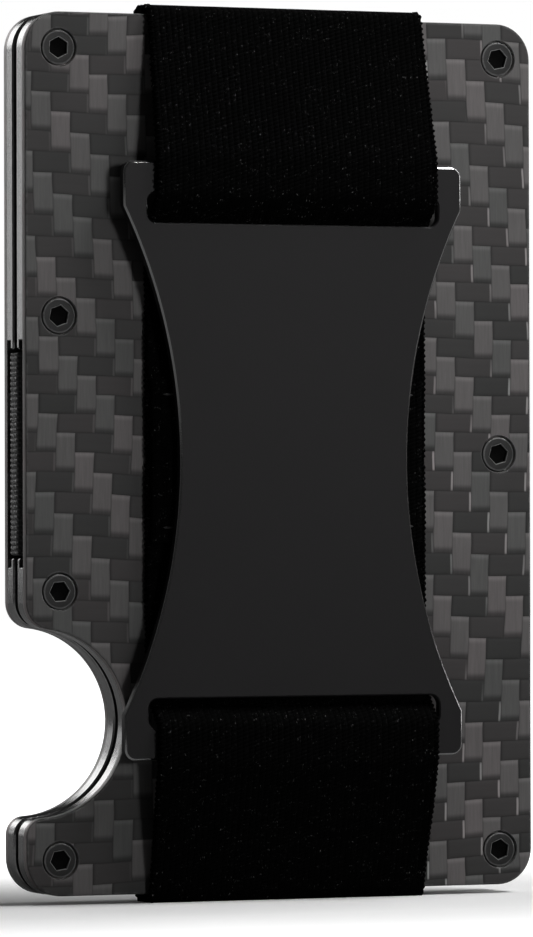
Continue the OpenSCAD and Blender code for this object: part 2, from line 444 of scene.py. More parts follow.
class Sheet:
    """Adds and joins nodes in one shader tree."""

    def __init__(self, tree: bpy.types.NodeTree) -> None:
        """Work in the tree given."""
        self.tree = tree

    def node(self, kind: str, **settings: object) -> bpy.types.Node:
        """Add a shader node and set its properties."""
        made = self.tree.nodes.new(f"ShaderNode{kind}")
        for name, value in settings.items():
            setattr(made, name, value)
        return made

    def feed(self, socket: bpy.types.NodeSocket, value: Feed) -> None:
        """Link a value to a socket, or set the socket if the value is constant."""
        if isinstance(value, Num):
            value = value.socket
        if isinstance(value, bpy.types.NodeSocket):
            self.tree.links.new(value, socket)
        else:
            socket.default_value = value

    def math(self, operation: str, *values: Feed) -> Num:
        """Result of a Math node."""
        made = self.node("Math", operation=operation)
        for socket, value in zip(made.inputs, values):
            self.feed(socket, value)
        return Num(self, made.outputs[0])

    def mix(self, share: Feed, first: Feed, second: Feed) -> Num:
        """Value between two values."""
        made = self.node("Mix", data_type="FLOAT")
        for index, value in zip((0, 2, 3), (share, first, second)):
            self.feed(made.inputs[index], value)
        return Num(self, made.outputs[0])

    def tint(self, share: Feed, first: Feed, second: Feed) -> Num:
        """Colour between two colours."""
        made = self.node("Mix", data_type="RGBA", blend_type="MIX")
        for index, value in zip((0, 6, 7), (share, first, second)):
            self.feed(made.inputs[index], value)
        return Num(self, made.outputs[2])

    def stretch(self, vector: Feed, scale: tuple[float, float, float]) -> bpy.types.NodeSocket:
        """Vector with each part multiplied by its own scale."""
        made = self.node("VectorMath", operation="MULTIPLY")
        self.feed(made.inputs[0], vector)
        self.feed(made.inputs[1], scale)
        return made.outputs[0]

    def noise(self, vector: Feed, scale: Feed = 1, detail: float = 2, rough: float = 0.5) -> Num:
        """Smooth noise from 0 to 1.

        Args:
            vector: where to read it.
            scale: its fineness.
            detail: number of finer layers.
            rough: how strong the finer layers are.

        Returns:
            The noise.
        """
        made = self.node("TexNoise")
        for name, value in (
            ("Vector", vector),
            ("Scale", scale),
            ("Detail", detail),
            ("Roughness", rough),
        ):
            self.feed(made.inputs[name], value)
        return Num(self, made.outputs[0])

    def scatter(self, x: Feed, y: Feed, z: Feed = 0.0) -> Num:
        """Random value from 0 to 1 for each whole x, y and z."""
        made = self.node("TexWhiteNoise", noise_dimensions="3D")
        self.feed(made.inputs["Vector"], self.join(x, y, z))
        return Num(self, made.outputs["Value"])

    def join(self, x: Feed, y: Feed, z: Feed = 0.0) -> bpy.types.NodeSocket:
        """Vector of three values."""
        made = self.node("CombineXYZ")
        for socket, value in zip(made.inputs, (x, y, z)):
            self.feed(socket, value)
        return made.outputs[0]

    def even(self, value: Feed) -> bpy.types.NodeSocket:
        """Grey of one value."""
        return self.join(value, value, value)

    def split(self, vector: Feed) -> tuple[Num, Num, Num]:
        """The three parts of a vector."""
        made = self.node("SeparateXYZ")
        self.feed(made.inputs[0], vector)
        x, y, z = (Num(self, s) for s in made.outputs)
        return x, y, z

    def bump(self, height: Feed, distance: float) -> bpy.types.NodeSocket:
        """Normal from a height, with its full relief given in millimetres."""
        made = self.node("Bump")
        made.inputs["Strength"].default_value = 1.0
        self.feed(made.inputs["Distance"], distance * MM)
        self.feed(made.inputs["Height"], height)
        return made.outputs["Normal"]

    def place_mm(self) -> bpy.types.NodeSocket:
        """The piece's own coordinates, in millimetres."""
        return self.stretch(self.node("TexCoord").outputs["Object"], (1 / MM,) * 3)

    def read(self, name: str, output: str = "Fac") -> bpy.types.NodeSocket:
        """An attribute that the mesh holds."""
        return self.node("Attribute", attribute_name=name).outputs[output]

    def group(self, tree: bpy.types.NodeTree, **values: Feed) -> Callable[[str], Num]:
        """Place a node group, feed its inputs and return a reader of its outputs."""
        made = self.node("Group", node_tree=tree)
        for name, value in values.items():
            self.feed(made.inputs[name.replace("_", " ").capitalize()], value)
        return lambda name: Num(self, made.outputs[name])


class SocketKind(Enum):
    """Kinds of socket on a node group."""

    NUMBER = "NodeSocketFloat"
    VECTOR = "NodeSocketVector"


class Effect:
    """A node group with named inputs and outputs, built once and used by many finishes."""

    name: str = ""
    inputs: dict[str, SocketKind] = {}
    outputs: tuple[str, ...] = ()

    @classmethod
    def tree(cls) -> bpy.types.NodeTree:
        """The group, made on first use."""
        found = bpy.data.node_groups.get(cls.name)
        if found:
            return found
        tree = bpy.data.node_groups.new(cls.name, "ShaderNodeTree")
        for label, kind in cls.inputs.items():
            tree.interface.new_socket(label, in_out="INPUT", socket_type=kind.value)
        for label in cls.outputs:
            tree.interface.new_socket(label, in_out="OUTPUT", socket_type="NodeSocketFloat")
        sheet = Sheet(tree)
        source = tree.nodes.new("NodeGroupInput")
        sink = tree.nodes.new("NodeGroupOutput")
        made = cls.draw(sheet, {label: source.outputs[label] for label in cls.inputs})
        for label in cls.outputs:
            sheet.feed(sink.inputs[label], made[label])
        return tree

    @staticmethod
    def draw(sheet: Sheet, given: dict[str, bpy.types.NodeSocket]) -> dict[str, Num]:
        """Add the group's nodes and return its outputs by name."""
        raise NotImplementedError


class TwillWeave(Effect):
    """Carbon tows in a two-over-two twill that steps down to the right."""

    name = "twill_weave"
    inputs = {"Place": SocketKind.VECTOR, "Tow": SocketKind.NUMBER, "Row": SocketKind.NUMBER}
    outputs = ("Warp", "Tone", "Fibre", "Height", "Seam", "Glint", "Fall")

    @staticmethod
    def draw(sheet: Sheet, given: dict[str, bpy.types.NodeSocket]) -> dict[str, Num]:
        """Split the plane into tow crossings and shade each float along its length."""
        spot = given["Place"]
        broad = sheet.stretch(spot, (0.03, 0.03, 0.03))
        sway = (sheet.noise(broad, 1, 0) - 0.5) * 1.1 + sheet.noise(spot, 0.3, 1) * 0.12
        lean = (sheet.noise(broad, 1.3, 0) - 0.5) * 1.3 + sheet.noise(spot, 0.2, 1) * 0.12
        x, _, z = sheet.split(spot)
        u, v = x / Num(sheet, given["Tow"]), z / Num(sheet, given["Row"])
        u, v = u + sway, v + lean
        column, row = u.floor(), v.floor()
        across_u, across_v = u - column, v - row
        crossing = (column + row).wrap(4)
        warp = crossing.below(1.5)
        strand = ((column + row) / 4).floor()
        along = sheet.mix(warp, (crossing - 2 + across_u) / 2, (crossing + across_v) / 2)
        across = sheet.mix(warp, across_v, across_u)
        tone = sheet.mix(
            warp, sheet.scatter(strand, row, 3.0), sheet.scatter(column, strand, 7.0)
        )
        shift = tone * 20
        warp_fibre = sheet.noise(sheet.join(x * 4.5, shift, z * 0.3), 1, 3, 0.7)
        weft_fibre = sheet.noise(sheet.join(x * 0.3, shift, z * 3), 1, 1) * 0.25 + 0.37
        side_round, end_round = across.crown(5), along.crown(7)
        side_seam = across.ramp(0, 0.07, 1, 0) + across.ramp(0.93, 1, 0, 1)
        end_seam = along.ramp(0, 0.05, 1, 0) + along.ramp(0.95, 1, 0, 1)
        # Mask for a painted highlight: a thin line at the right end of each weft float.
        painted_glint = along.ramp(0.93, 0.95) * along.ramp(0.985, 1, 1, 0) * across.crown(8) * (1 - warp)
        return {
            "Warp": warp,
            "Tone": tone,
            "Fibre": sheet.mix(warp, weft_fibre, warp_fibre),
            "Height": side_round * end_round,
            "Seam": side_seam.do("MAXIMUM", end_seam).do("MINIMUM", 1),
            "Glint": painted_glint,
            "Fall": along,
        }


class EdgeWear(Effect):
    """Rubbed spots on exposed edges."""

    name = "edge_wear"
    inputs = {
        "Place": SocketKind.VECTOR,
        "Exposed": SocketKind.NUMBER,
        "Amount": SocketKind.NUMBER,
    }
    outputs = ("Wear",)

    @staticmethod
    def draw(sheet: Sheet, given: dict[str, bpy.types.NodeSocket]) -> dict[str, Num]:
        """Break the exposed edge up with noise."""
        patch = sheet.noise(given["Place"], 1.6, 4, 0.65)
        share = Num(sheet, given["Amount"]) + patch - 0.75
        return {"Wear": share.ramp(0, 0.35) * Num(sheet, given["Exposed"])}


class FineGrain(Effect):
    """Fine surface grain with slow smudges under it."""

    name = "fine_grain"
    inputs = {"Place": SocketKind.VECTOR, "Fineness": SocketKind.NUMBER}
    outputs = ("Grain", "Smudge")

    @staticmethod
    def draw(sheet: Sheet, given: dict[str, bpy.types.NodeSocket]) -> dict[str, Num]:
        """One fine and one broad noise."""
        return {
            "Grain": sheet.noise(given["Place"], given["Fineness"], 2),
            "Smudge": sheet.noise(given["Place"], 0.07, 3, 0.6),
        }


class RibbedCloth(Effect):
    """Warp cords and short weft stitches of a woven elastic band."""

    name = "ribbed_cloth"
    inputs = {
        "Cloth": SocketKind.VECTOR,
        "Pitch": SocketKind.NUMBER,
        "Slant": SocketKind.NUMBER,
    }
    outputs = ("Height", "Stitch", "Fleck")

    @staticmethod
    def draw(sheet: Sheet, given: dict[str, bpy.types.NodeSocket]) -> dict[str, Num]:
        """Cross ribs along the band with stitches across it, and pick out single fibres."""
        across, along, _ = sheet.split(given["Cloth"])
        pitch = Num(sheet, given["Pitch"])
        rib = across / pitch
        row = (along / pitch) * 1.6 + Num(sheet, given["Slant"]) * rib
        rib_in, row_in = rib.wrap(1), row.wrap(1)
        stitch = sheet.scatter(rib.floor(), row.floor())
        height = rib_in.crown(2) * 0.6 + row_in.crown(2) * 0.4
        fluff = sheet.noise(sheet.stretch(given["Cloth"], (7, 3.2, 1)), 1, 4, 0.7)
        fleck = fluff.ramp(0.6, 0.72) * stitch.ramp(0.55, 0.95)
        return {"Height": height + fluff * 0.5, "Stitch": stitch, "Fleck": fleck}


# Finishes ---------------------------------------------------------------------------------


@dataclass(frozen=True)
class Finish:
    """What a piece is made of: a material and the record's slot for it."""

    name: str = ""
    slot: str = ""

    def material(self) -> bpy.types.Material:
        """The material, made on first use."""
        found = bpy.data.materials.get(self.name)
        if found:
            return found
        made = bpy.data.materials.new(self.name)
        made.use_nodes = True
        sheet = Sheet(made.node_tree)
        self.paint(sheet, made.node_tree.nodes["Principled BSDF"].inputs)
        return made

    def paint(self, sheet: Sheet, skin: bpy.types.NodeInputs) -> None:
        """Feed the Principled BSDF's sockets."""
        raise NotImplementedError

    def wear(self, sheet: Sheet, place: Feed, amount: float) -> Num:
        """Rubbed spots on the piece's exposed edges."""
        wear_and_painted_light = sheet.read("wear_and_painted_light")
        return sheet.group(EdgeWear.tree(), place=place, exposed=wear_and_painted_light, amount=amount)("Wear")


def grey(value: float) -> tuple[float, float, float, float]:
    """Linear grey."""
    return (value, value, value, 1)


@dataclass(frozen=True)
class CarbonCover(Finish):
    """Matt twill carbon sheet with machined edges that show its plies."""

    name: str = "carbon_twill"
    slot: str = "carbon_weave"
    tow: float = 2.015
    row: float = 1.975
    origin: Point = (26.06, 3.2)
    warp_light: float = 0.13
    weft_dark: float = 0.047

    def paint(self, sheet: Sheet, skin: bpy.types.NodeInputs) -> None:
        """Weave on the flat faces, with painted shade and painted highlights on its floats, plies
        on the cut edges.
        """
        place = sheet.place_mm()
        moved = sheet.node("VectorMath", operation="ADD")
        sheet.feed(moved.inputs[0], place)
        sheet.feed(moved.inputs[1], (self.origin[0], 0, -FOOT_Z - self.origin[1]))
        spot = moved.outputs[0]
        weave = sheet.group(TwillWeave.tree(), place=spot, tow=self.tow, row=self.row)
        _, facing, _ = sheet.split(sheet.node("TexCoord").outputs["Normal"])
        flat = facing.do("ABSOLUTE").ramp(0.75, 0.95)
        grain = sheet.group(FineGrain.tree(), place=place, fineness=14)
        light = sheet.mix(weave("Warp"), self.weft_dark, self.warp_light)
        # Painted light on the floats: each warp float is painted darker at its lower end as shade,
        # and lighter at its upper end as light from above. Each weft float is painted darker at
        # its left end, as shadow where it dips under the warp beside it.
        shaded_low_end = weave("Fall").ramp(0.05, 0.2, 0.4, 1)
        lit_high_end = weave("Fall").ramp(0.84, 0.97, 1, 1.4)
        shaded_left_end = weave("Fall").ramp(0, 0.1, 0.6, 1)
        shade = sheet.mix(weave("Warp"), shaded_left_end, shaded_low_end * lit_high_end)
        shade = shade * (weave("Fibre") * 0.5 + 0.75) * (weave("Tone") * 0.36 + 0.82)
        shade = shade * (1 - weave("Seam") * 0.3) * (grain("Smudge") * 0.4 + 0.8)
        place_x, place_y, place_z = sheet.split(place)
        # Painted highlight: the glint mask, in slow patches and stronger towards the right of the
        # panel where the light comes from, adds a bright line to the colour and lowers the
        # roughness.
        glint_patches = sheet.noise(sheet.stretch(place, (0.09, 0.09, 0.06)), 1, 2).ramp(0.38, 0.6)
        painted_glint = weave("Glint") * glint_patches * place_x.ramp(-22, 8, 0.15, 1)
        tone = light * shade + painted_glint * 0.3
        plies = sheet.noise(sheet.join(place_x * 0.3, place_y * 16, place_z * 0.3), 1, 2)
        wall = facing.do("ABSOLUTE").ramp(0.15, 0.4, 1, 0)
        tone = sheet.mix(flat, plies * 0.8 * (wall + 0.06) + 0.04, tone)
        sheet.feed(skin["Metallic"], wall * 0.85)
        wear = self.wear(sheet, place, 0.42)
        colour = self.colour(sheet, tone, weave("Tone"))
        sheet.feed(skin["Base Color"], sheet.tint(wear * 0.5, colour, grey(0.17)))
        sheet.feed(
            skin["Roughness"],
            sheet.mix(painted_glint, weave("Fibre") * 0.12 + grain("Grain") * 0.1 + 0.42, 0.25),
        )
        skin["Specular IOR Level"].default_value = 0.2
        relief = weave("Height") * flat + weave("Fibre") * 0.12 + grain("Grain") * 0.04
        sheet.feed(skin["Normal"], sheet.bump(relief, 0.035))

    def colour(self, sheet: Sheet, tone: Num, strand: Num) -> bpy.types.NodeSocket:
        """Grey of the given lightness, warmer on some strands than on others."""
        return sheet.join(tone * (strand * 0.08 + 0.99), tone * (1 - strand * 0.02), tone * 0.985)


@dataclass(frozen=True)
class BrushedMetal(Finish):
    """Anodised aluminium with machining lines along its edges."""

    name: str = "brushed_frame"
    slot: str = "frame_metal"
    tone: float = 0.34

    def paint(self, sheet: Sheet, skin: bpy.types.NodeInputs) -> None:
        """Lines along the wall, with a little wear on its corners."""
        place = sheet.place_mm()
        x, y, z = sheet.split(place)
        lines = sheet.noise(sheet.join(x * 0.25, y * 9, z * 0.25), 1, 4, 0.7)
        grain = sheet.group(FineGrain.tree(), place=place, fineness=9)
        chatter = sheet.noise(sheet.join(x * 2.5, y * 0.4, z * 2.5), 1, 2)
        wear = self.wear(sheet, place, 0.5)
        tone = (lines * 0.5 + 0.75) * (grain("Smudge") * 0.4 + 0.8) * self.tone
        sheet.feed(skin["Base Color"], sheet.tint(wear, sheet.even(tone), grey(0.6)))
        skin["Metallic"].default_value = 1.0
        sheet.feed(skin["Roughness"], lines * 0.18 + grain("Grain") * 0.06 + 0.1)
        sheet.feed(skin["Normal"], sheet.bump(lines + chatter * 0.5, 0.012))


@dataclass(frozen=True)
class BlackedSteel(Finish):
    """Oiled black screws, bright where a key has scuffed them."""

    name: str = "blacked_steel"
    slot: str = "screw_steel"

    def paint(self, sheet: Sheet, skin: bpy.types.NodeInputs) -> None:
        """Dark oxide with scuffed edges, and painted shade in the socket."""
        place = sheet.place_mm()
        grain = sheet.group(FineGrain.tree(), place=place, fineness=11)
        wear = self.wear(sheet, place, 0.55)
        # Painted shade: the screw's socket, marked below zero, is painted nearly black and made
        # rough, as shade in the recess.
        clear_of_socket_shade = Num(sheet, sheet.read("wear_and_painted_light")).ramp(-0.7, 0)
        tone = (grain("Grain") * 0.014 + 0.015) * (clear_of_socket_shade * 0.95 + 0.05)
        sheet.feed(skin["Base Color"], sheet.tint(wear, sheet.even(tone), grey(0.3)))
        sheet.feed(skin["Metallic"], wear * 0.6)
        sheet.feed(skin["Roughness"], 0.95 - clear_of_socket_shade * 0.5 + grain("Grain") * 0.05)
        skin["Specular IOR Level"].default_value = 0.2
        sheet.feed(skin["Normal"], sheet.bump(grain("Grain"), 0.006))


@dataclass(frozen=True)
class BlastedPlate(Finish):
    """Bead-blasted and blackened metal with bright cut edges."""

    name: str = "blasted_plate"
    slot: str = "plate_metal"
    face: float = 0.0115
    edge: float = 0.6

    def paint(self, sheet: Sheet, skin: bpy.types.NodeInputs) -> None:
        """Dark grain, with the chamfer cut through to bare metal."""
        place = sheet.place_mm()
        grain = sheet.group(FineGrain.tree(), place=place, fineness=7)
        # The mark is 1 on the bare cut chamfers, and on the upper slot's lower left corner, where
        # the bright bare metal is a painted highlight.
        cut = Num(sheet, sheet.read("wear_and_painted_light"))
        tone = (grain("Grain") * 0.3 + 0.85) * (grain("Smudge") * 0.3 + 0.85) * self.face
        body = sheet.stretch(sheet.even(tone), (1.03, 0.97, 1.04))
        bare = cut.ramp(0.55, 0.9)
        sheet.feed(skin["Base Color"], sheet.tint(bare, body, grey(self.edge)))
        sheet.feed(skin["Metallic"], bare)
        sheet.feed(skin["Roughness"], sheet.mix(bare, grain("Grain") * 0.14 + 0.42, 0.14))
        skin["Specular IOR Level"].default_value = 0.16
        sheet.feed(skin["Normal"], sheet.bump(grain("Grain"), 0.006))


@dataclass(frozen=True)
class Webbing(Finish):
    """Black woven elastic with stray lighter fibres, glossier and painted paler, as if lit, where
    it is marked.
    """

    name: str = "black_webbing"
    slot: str = "strap_webbing"
    pitch: float = 0.62
    slant: float = 0.5
    base: float = 0.0007
    fleck: float = 0.3
    relief: float = 0.12
    rough: float = 0.75
    gloss: float = 0.02

    def paint(self, sheet: Sheet, skin: bpy.types.NodeInputs) -> None:
        """Ribs and stitches, dark, with flecks on some stitches, and painted paler as light where
        marked.
        """
        cloth = sheet.read("cloth", "Vector")
        ribs = sheet.group(RibbedCloth.tree(), cloth=cloth, pitch=self.pitch, slant=self.slant)
        # Painted light: where the mesh is marked, the colour is four times paler and the roughness
        # lower, as if that half were lit.
        painted_light_mask = Num(sheet, sheet.read("wear_and_painted_light"))
        tone = ribs("Stitch") * self.base + self.base + ribs("Fleck") * self.fleck
        tone = tone * (painted_light_mask * 3 + 1)
        sheet.feed(skin["Base Color"], sheet.even(tone))
        sheet.feed(skin["Roughness"], ribs("Stitch") * 0.15 - painted_light_mask * 0.5 + self.rough)
        skin["Specular IOR Level"].default_value = self.gloss
        sheet.feed(skin["Normal"], sheet.bump(ribs("Height"), self.relief))


@dataclass(frozen=True)
class Thread(Finish):
    """Twisted polyester sewing thread."""

    name: str = "sewing_thread"
    slot: str = "thread"

    def paint(self, sheet: Sheet, skin: bpy.types.NodeInputs) -> None:
        """Two plies that wind round the thread."""
        x, y, z = sheet.split(sheet.place_mm())
        ply = ((x + y * 2 + z) * 5).do("SINE")
        fluff = sheet.noise(sheet.join(x * 20, y * 20, z * 20), 1, 2)
        tone = ply * 0.006 + fluff * 0.012 + 0.014
        sheet.feed(skin["Base Color"], sheet.even(tone))
        sheet.feed(skin["Roughness"], fluff * 0.2 + 0.5)
        sheet.feed(skin["Normal"], sheet.bump(ply + fluff, 0.03))


# Panels -----------------------------------------------------------------------------------


class Long(Enum):
    """The two long edges of a panel."""

    LEFT = -1
    RIGHT = 1


@dataclass(frozen=True)
class Pocket:
    """Room milled in a frame for one elastic."""

    edge: Long
    z: float
    half: float
    deep: float
    skin_half: float
    skin_deep: float


@dataclass
class Panel:
    """One half of the wallet: a carbon cover, a metal frame and seven screws."""

    side: Side
    corner_r: float = 3.6
    notch_r: float = 9.2
    notch_in: float = 1.25
    notch_z: float = 16.8
    notch_top_r: float = 2.6
    notch_foot_r: float = 1.8
    hole_r: float = 1.84
    bore_depth: float = 0.54
    thread_r: float = 0.95
    thread_clear: float = 0.04
    head_r: float = 1.68
    head_h: float = 0.5
    head_sink: float = 0.04
    thread_pitch: float = 0.4
    thread_deep: float = 0.14
    tip_gap: float = 0.25
    socket_af: float = 1.78
    socket_depth: float = 0.4
    pocket_t: float = 1.04
    pocket_deep: float = 7.8
    pocket_clear: float = 1.0
    skin_deep: float = 1.25
    skin_clear: float = 0.2
    lip: float = 0.14
    soft: float = 0.17
    bore_clear: float = 0.1
    turns: tuple[float, ...] = (8, 22, 4, 15, 27, 12, 19)
    place: Place = field(init=False)

    def __post_init__(self) -> None:
        """Read the panel's sizes and its screws from the frame."""
        cover = Span.of(f"{self.side.prefix}_cover")
        metal = Span.of(f"{self.side.prefix}_frame")
        self.half_w = (cover.high.x - cover.low.x) / 2
        self.height = cover.high.z - cover.low.z
        self.cover_t = cover.high.y - cover.low.y
        self.total_t = self.cover_t + metal.high.y - metal.low.y
        self.place = self.side.place()
        prefix = f"{self.side.prefix}_screw_"
        self.screws = {
            n: (Span.of(n).middle.x, Span.of(n).middle.z - FOOT_Z)
            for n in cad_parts
            if n.startswith(prefix)
        }

    def pockets(self) -> list[Pocket]:
        """The three pockets, taken from where the elastics are."""
        found = []
        for name in ("left_elastic", "right_lower_elastic", "right_upper_elastic"):
            span = Span.of(name)
            half = (span.high.z - span.low.z) / 2
            found.append(
                Pocket(
                    Long.LEFT if span.middle.x < 0 else Long.RIGHT,
                    span.middle.z - FOOT_Z,
                    half + self.pocket_clear,
                    self.pocket_deep,
                    half + self.skin_clear,
                    self.skin_deep,
                )
            )
        return found

    def mouth(self, pocket: Pocket, skin: bool) -> Loop:
        """A pocket's outline, listed upwards.

        Args:
            pocket: the pocket.
            skin: whether this is the cut in the inner skin or the pocket itself.

        Returns:
            Points along the panel's edge and into the pocket, with its corners broken.
        """
        side, w, c = pocket.edge.value, self.half_w, self.lip
        half, deep = (pocket.skin_half, pocket.skin_deep) if skin else (pocket.half, pocket.deep)
        lower = [(w, -half - c), (w - c, -half), (w - deep, -half)]
        if skin:
            lower = [(w, -pocket.half - c), *lower]
        full = lower + [(x, -z) for x, z in reversed(lower)]
        return [(side * x, pocket.z + z) for x, z in full]

    def outline(self, skin: bool | None = None) -> Loop:
        """The panel's outline, anticlockwise.

        Args:
            skin: None for the plain outline, else which cut of the pockets it shows.

        Returns:
            The outline's points.
        """
        cuts = [] if skin is None else self.pockets()
        left = [p for k in cuts if k.edge is Long.LEFT for p in reversed(self.mouth(k, skin))]
        right = [p for k in cuts if k.edge is Long.RIGHT for p in self.mouth(k, skin)]
        notch = (-self.half_w + self.notch_in, self.notch_z)
        top = self.notch_r + self.notch_top_r
        foot = self.notch_r + self.notch_foot_r
        rise = math.sqrt(top**2 - (self.notch_top_r - self.notch_in) ** 2)
        drop = math.sqrt(foot**2 - (self.notch_foot_r - self.notch_in) ** 2)
        brow = (-self.half_w + self.notch_top_r, self.notch_z + rise)
        hook = (-self.half_w + self.notch_foot_r, self.notch_z - drop)
        up = math.degrees(math.atan2(brow[1] - notch[1], brow[0] - notch[0]))
        down = math.degrees(math.atan2(hook[1] - notch[1], hook[0] - notch[0]))
        x, r = self.half_w - self.corner_r, self.corner_r
        return [
            *arc((x, r), r, -90, 0, 12),
            *right,
            *arc((x, self.height - r), r, 0, 90, 12),
            *arc((-x, self.height - r), r, 90, 180, 12),
            *left,
            *arc(brow, self.notch_top_r, 180, 180 + up, 10),
            *arc(notch, self.notch_r, up, down, 48)[1:-1],
            *arc(hook, self.notch_foot_r, 180 + down, 180, 10),
            *arc((-x, r), r, 180, 270, 12),
        ]

    def cover(self) -> bpy.types.Object:
        """The carbon sheet, with a softened rim and counterbored holes."""
        lip, back = self.lip, 0.03
        shank = self.thread_r + self.bore_clear - self.hole_r
        rim = [
            Step(lip + 0.15, 0),
            Step(lip, 0, 1),
            Step(lip * 0.3, lip * 0.3, 1),
            Step(0, lip, 0.3),
            Step(0, self.cover_t - back),
            Step(back, self.cover_t),
        ]
        bore = [
            Step(0.2, 0),
            Step(0.07, 0, 1),
            Step(0, 0.07, 0.4),
            Step(0, self.bore_depth),
            Step(shank, self.bore_depth),
            Step(shank, self.cover_t),
        ]
        draft = Draft(self.place)
        holes = [Wall(circle(s, self.hole_r), bore, True) for s in self.screws.values()]
        draft.walls([Wall(self.outline(), rim), *holes])
        return draft.build(f"{self.side.prefix}_carbon_cover")

    def metal(self) -> bpy.types.Object:
        """The frame: pockets in its outer layer, a cut skin in its inner one."""
        ledge, soft = self.cover_t + self.pocket_t, self.soft
        outer = [Step(0, self.cover_t), Step(0, ledge)]
        inner = [
            Step(0, ledge),
            Step(0, self.total_t - soft, 0.2),
            Step(soft * 0.35, self.total_t - soft * 0.35, 1),
            Step(soft, self.total_t, 0.6),
            Step(soft + 0.15, self.total_t),
        ]
        bore = [Step(0, self.cover_t), Step(0, ledge), Step(0, self.total_t)]
        draft = Draft(self.place)
        bore_r = self.thread_r + self.thread_clear
        holes = [Wall(circle(s, bore_r, 32), bore, True) for s in self.screws.values()]
        tops, bottoms = draft.walls(holes, caps=False)
        upper, _ = draft.walls([Wall(self.outline(skin=False), outer)], caps=False)
        _, lower = draft.walls([Wall(self.outline(skin=True), inner)], caps=False)
        draft.cap([upper[0], *tops])
        draft.cap([lower[0], *bottoms])
        for pocket in self.pockets():
            cut, skin = self.mouth(pocket, False), self.mouth(pocket, True)[1:-1]
            draft.cap([draft.ring(cut + skin[::-1], ledge)])
        return draft.build(f"{self.side.prefix}_metal_frame")

    def socket(self, centre: Point, grow: float, turn: float) -> Loop:
        """The screw's hexagonal socket, as a loop that matches a round one of 48 points."""
        points = []
        for i in range(48):
            off = (i * 7.5) % 60 - 30
            r = (self.socket_af / 2 + grow) / math.cos(math.radians(off))
            a = math.radians(turn + i * 7.5)
            points.append((centre[0] + r * math.cos(a), centre[1] + r * math.sin(a)))
        return points

    def screw(self, node: str, centre: Point, turn: float) -> bpy.types.Object:
        """One flat-headed screw with a hexagonal socket and a turned thread.

        Args:
            node: the CAD node that it stands for.
            centre: X and Z of its axis.
            turn: how far its socket is turned, in degrees.

        Returns:
            The screw.
        """
        draft, top = Draft(self.place), self.head_sink
        floor = top + self.socket_depth

        def round_at(radius: float, depth: float, wear_and_painted_light: float = 0.0) -> list:
            """One ring of the screw."""
            return draft.ring(circle(centre, radius, 48, turn), depth, wear_and_painted_light)

        # The socket's floor and lower walls carry a mark of -1, where the finish paints shade.
        rings = [
            round_at(0.3, floor, -1),
            draft.ring(self.socket(centre, -0.05, turn), floor, -1),
            draft.ring(self.socket(centre, 0, turn), floor - 0.05, -1),
            draft.ring(self.socket(centre, 0, turn), top + 0.07, 0.6),
            draft.ring(self.socket(centre, 0.05, turn), top, 1),
            draft.ring(self.socket(centre, 0.09, turn), top),
            round_at(self.head_r - 0.2, top),
            round_at(self.head_r - 0.1, top + 0.015, 0.5),
            round_at(self.head_r - 0.03, top + 0.06, 1),
            round_at(self.head_r, top + 0.14, 0.3),
            round_at(self.head_r, top + self.head_h),
            round_at(self.thread_r, top + self.head_h),
        ]
        depth, pitch = top + self.head_h, self.thread_pitch
        end = self.total_t - self.tip_gap
        while depth + pitch < end:
            rings.append(round_at(self.thread_r - self.thread_deep, depth + pitch / 2))
            rings.append(round_at(self.thread_r, depth + pitch))
            depth += pitch
        rings.append(round_at(self.thread_r - 0.2, end))
        for upper, lower in zip(rings, rings[1:]):
            draft.band(upper, lower)
        for ring, depth, wear_and_painted_light in ((rings[0], floor, -1), (rings[-1], end, 0)):
            draft.fan(ring, draft.ring([centre], depth, wear_and_painted_light)[0])
        return draft.build(node.replace("_screw_", "_socket_screw_"))

    def build(self) -> None:
        """Make the cover, the frame and the screws."""
        prefix, body = self.side.prefix, self.side.body
        dress(self.cover(), CarbonCover(), body, [f"{prefix}_cover"])
        dress(self.metal(), BrushedMetal(), body, [f"{prefix}_frame"])
        for turn, (node, centre) in zip(self.turns, sorted(self.screws.items())):
            dress(self.screw(node, centre, turn), BlackedSteel(), body, [node])


# Textiles ---------------------------------------------------------------------------------


@dataclass(frozen=True)
class Station:
    """One place along a band: its middle, the way out of its face, and its length so far."""

    at: Vector
    out: Vector
    run: float


def stations(path: Sequence[Vector], across: Vector, step: float) -> list[Station]:
    """Walk along a path in even steps.

    Args:
        path: points of the path, in millimetres.
        across: the band's direction from edge to edge.
        step: distance between stations.

    Returns:
        The stations, from the first point to the last.
    """
    runs = [0.0]
    for a, b in zip(path, path[1:]):
        runs.append(runs[-1] + (b - a).length)
    count = max(2, round(runs[-1] / step))
    spots, k = [], 0
    for i in range(count + 1):
        run = runs[-1] * i / count
        while k < len(path) - 2 and runs[k + 1] < run:
            k += 1
        share = (run - runs[k]) / max(runs[k + 1] - runs[k], 1e-9)
        spots.append((path[k].lerp(path[k + 1], min(1, share)), run))
    made = []
    for i, (at, run) in enumerate(spots):
        ahead = spots[min(i + 1, count)][0] - spots[max(i - 1, 0)][0]
        made.append(Station(at, ahead.cross(across).normalized(), run))
    return made


